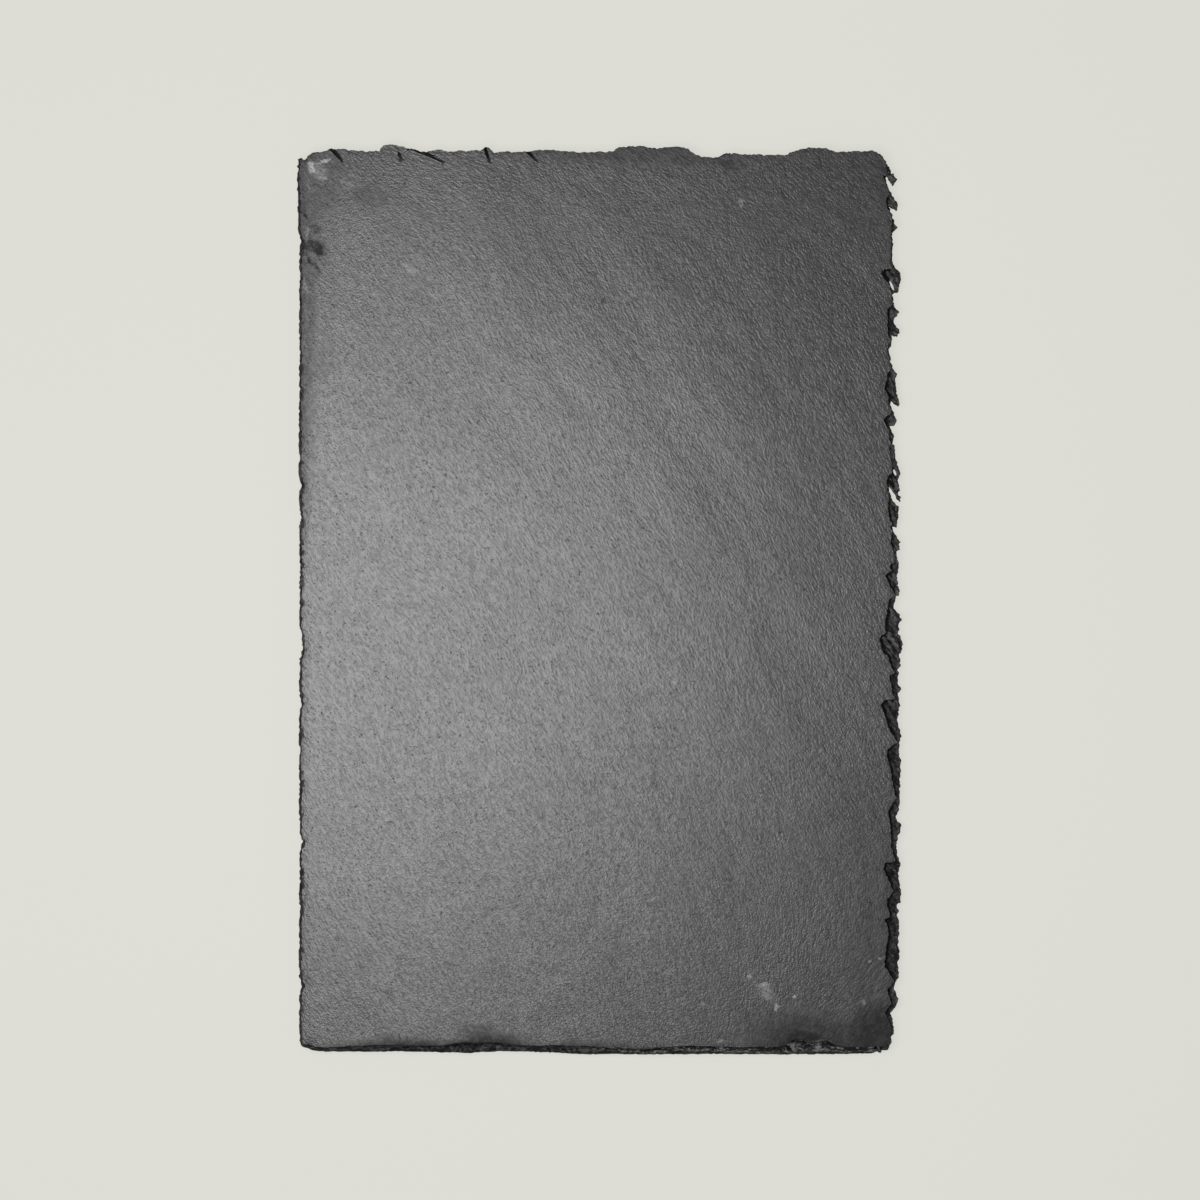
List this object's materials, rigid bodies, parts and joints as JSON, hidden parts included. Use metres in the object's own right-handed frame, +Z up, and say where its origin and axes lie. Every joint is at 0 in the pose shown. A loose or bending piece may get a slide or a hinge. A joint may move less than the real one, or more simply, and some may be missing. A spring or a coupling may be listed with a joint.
{
  "type": "slate serving board",
  "caption": "Flat rectangular board of split slate with hand-dressed flaked edges, on small round rubber feet, for serving food.",
  "frame": {"origin": "on the surface that the feet stand on, under the middle of the board's outline", "axes": "+X to the right edge with the large flakes, +Y along the board's length to the ragged back edge, +Z up out of the serving face"},
  "size_m": [0.2, 0.3, 0.0078],
  "materials": {
    "slate": "satin",
    "foot_rubber": "matte",
    "adhesive_film": "matte"
  },
  "bodies": {
    "root": {"slate_slab": "slate", "foot_pad_front_left": "foot_rubber", "foot_pad_front_right": "foot_rubber", "foot_pad_back_left": "foot_rubber", "foot_pad_back_right": "foot_rubber", "adhesive_disc_front_left": "adhesive_film", "adhesive_disc_front_right": "adhesive_film", "adhesive_disc_back_left": "adhesive_film", "adhesive_disc_back_right": "adhesive_film"}
  },
  "joints": []
}
